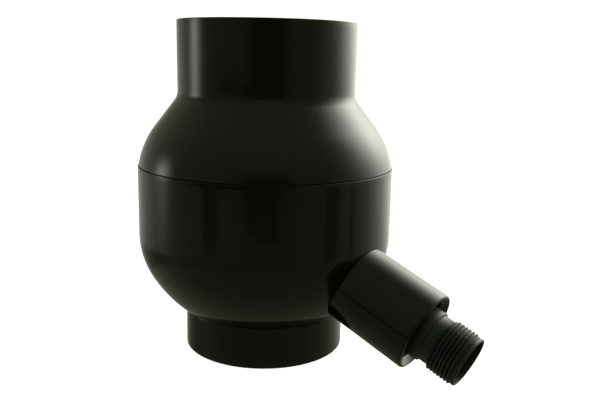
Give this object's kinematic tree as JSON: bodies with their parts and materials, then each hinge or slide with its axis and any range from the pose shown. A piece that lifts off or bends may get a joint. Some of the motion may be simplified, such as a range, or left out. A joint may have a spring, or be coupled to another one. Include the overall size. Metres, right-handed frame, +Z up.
{
  "type": "foot valve",
  "caption": "Plastic ball foot valve: round two-shell bulb, plain pipe neck on top, short inlet spigot with strainer below, slanted side branch ending in a threaded nipple.",
  "frame": {"origin": "middle of the valve's footprint, in the plane of the inlet face that it stands on", "axes": "+Z up along the flow axis, from the inlet to the outlet; +X the way the side branch points; the flow axis stands at x = -35.9 mm, y = 0"},
  "size_m": [0.2374, 0.1656, 0.212],
  "materials": {
    "black_gloss_shell": "glossy moulded PVC, black with a faint olive cast",
    "dark_grey_fitting": "satin moulded PVC, dark grey",
    "inner_plastic": "plain moulded plastic",
    "black_rubber": "smooth moulded rubber",
    "stainless": "satin stainless steel"
  },
  "bodies": {
    "valve": {"upper_shell": "black_gloss_shell", "lower_shell": "black_gloss_shell", "inlet_spigot": "black_gloss_shell", "branch_stub": "black_gloss_shell", "branch_coupling": "black_gloss_shell", "reducing_bush": "dark_grey_fitting", "threaded_nipple": "dark_grey_fitting", "strainer": "inner_plastic", "strainer_ring": "stainless", "seat_ring": "inner_plastic", "seat_seal": "black_rubber", "seat_retainer": "inner_plastic", "cage_crown": "stainless", "guide_rod_1": "stainless", "guide_rod_2": "stainless", "guide_rod_3": "stainless", "guide_rod_4": "stainless", "cage_nut_1": "stainless", "cage_nut_2": "stainless", "cage_nut_3": "stainless", "cage_nut_4": "stainless"},
    "ball": {"check_ball": "black_rubber"}
  },
  "joints": [
    {"name": "ball_lift", "type": "slide", "parent": "valve", "child": "ball", "axis": [0, 0, 1], "range_m": [0, 0.022]}
  ]
}
